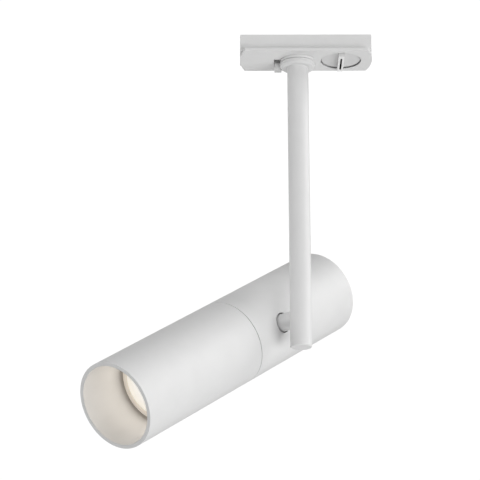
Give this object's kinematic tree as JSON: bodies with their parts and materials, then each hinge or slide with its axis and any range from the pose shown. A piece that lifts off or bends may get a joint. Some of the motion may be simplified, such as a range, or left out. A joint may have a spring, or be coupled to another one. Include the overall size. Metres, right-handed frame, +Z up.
{
  "type": "track spotlight",
  "caption": "Track spotlight: a track adapter with a turning lock and latch, a drop rod that pans, and a two-part tube with a reflector lamp that tilts on a stub axle.",
  "frame": {"origin": "on the drop rod's axis, in the plane of the track's lower face, which the cover plate's side strips close against", "axes": "+Z up into the track along the rod's axis, +X along the track towards the end with the turning lock, +Y across the track"},
  "size_m": [0.1994, 0.1839, 0.3083],
  "materials": {
    "white_paint": "matte",
    "white_plastic": "matte",
    "steel": "satin",
    "aluminium": "satin",
    "brass": "satin",
    "fibre": "matte",
    "dark_plastic": "matte",
    "ceramic": "matte",
    "lamp_shell": "satin",
    "lamp_lens": "satin",
    "lead_sheath": "satin"
  },
  "bodies": {
    "adapter": {"cover_plate": "white_plastic", "adapter_housing": "white_plastic", "cover_screw_1": "steel", "cover_screw_2": "steel", "cover_screw_3": "steel", "cover_screw_4": "steel", "terminal_block": "dark_plastic", "terminal_screw_1": "brass", "terminal_screw_2": "brass", "terminal_screw_3": "brass", "live_strip": "brass", "neutral_strip": "brass", "earth_contact": "brass", "adapter_lead": "lead_sheath", "pan_bush": "white_plastic", "detent_spring": "steel"},
    "latch": {"latch_slider": "white_plastic", "latch_bolt": "steel"},
    "lock": {"lock_knob": "white_plastic", "lock_lug": "dark_plastic", "lug_screw": "steel", "contact_live": "brass", "contact_neutral": "brass"},
    "rod": {"pan_friction_washer": "fibre", "pan_washer": "steel", "pan_spring_washer": "steel", "pan_stop_washer": "steel", "pan_nut": "steel", "rod_nipple": "steel", "pan_collar": "white_paint", "rod": "white_paint", "rod_plug": "steel", "stub_axle": "white_paint", "tilt_washer": "fibre", "tilt_spring_washer": "steel", "tilt_nut": "steel", "rod_lead": "lead_sheath"},
    "spot": {"rear_housing": "white_paint", "coupling_ring": "aluminium", "rear_cap": "white_paint", "cap_screw_1": "steel", "cap_screw_2": "steel", "chassis_bracket": "steel", "lamp_holder": "ceramic", "holder_screw_1": "steel", "holder_screw_2": "steel", "spot_lead": "lead_sheath"},
    "front": {"front_tube": "white_paint"},
    "lamp": {"lamp_body": "lamp_shell", "lamp_lens": "lamp_lens", "lamp_pin_1": "steel", "lamp_pin_2": "steel"}
  },
  "joints": [
    {"name": "pan", "type": "hinge", "parent": "adapter", "child": "rod", "pos_m": [0, 0, 0], "axis": [0, 0, 1], "range_deg": [-170, 170]},
    {"name": "tilt", "type": "hinge", "parent": "rod", "child": "spot", "pos_m": [0, 0, -0.192], "axis": [-0.6985, 0.7156, 0], "range_deg": [-149.16, 30.84]},
    {"name": "lock_turn", "type": "hinge", "parent": "adapter", "child": "lock", "pos_m": [0.03065, 0, 0], "axis": [0, 0, 1], "range_deg": [0, 90]},
    {"name": "latch_slide", "type": "slide", "parent": "adapter", "child": "latch", "axis": [0, 1, 0], "range_m": [0, 0.004]},
    {"name": "front_tube_off", "type": "slide", "parent": "spot", "child": "front", "axis": [-0.6144, -0.5998, -0.5126], "range_m": [0, 0.09]},
    {"name": "lamp_out", "type": "slide", "parent": "spot", "child": "lamp", "axis": [-0.6144, -0.5998, -0.5126], "range_m": [0, 0.1]}
  ]
}
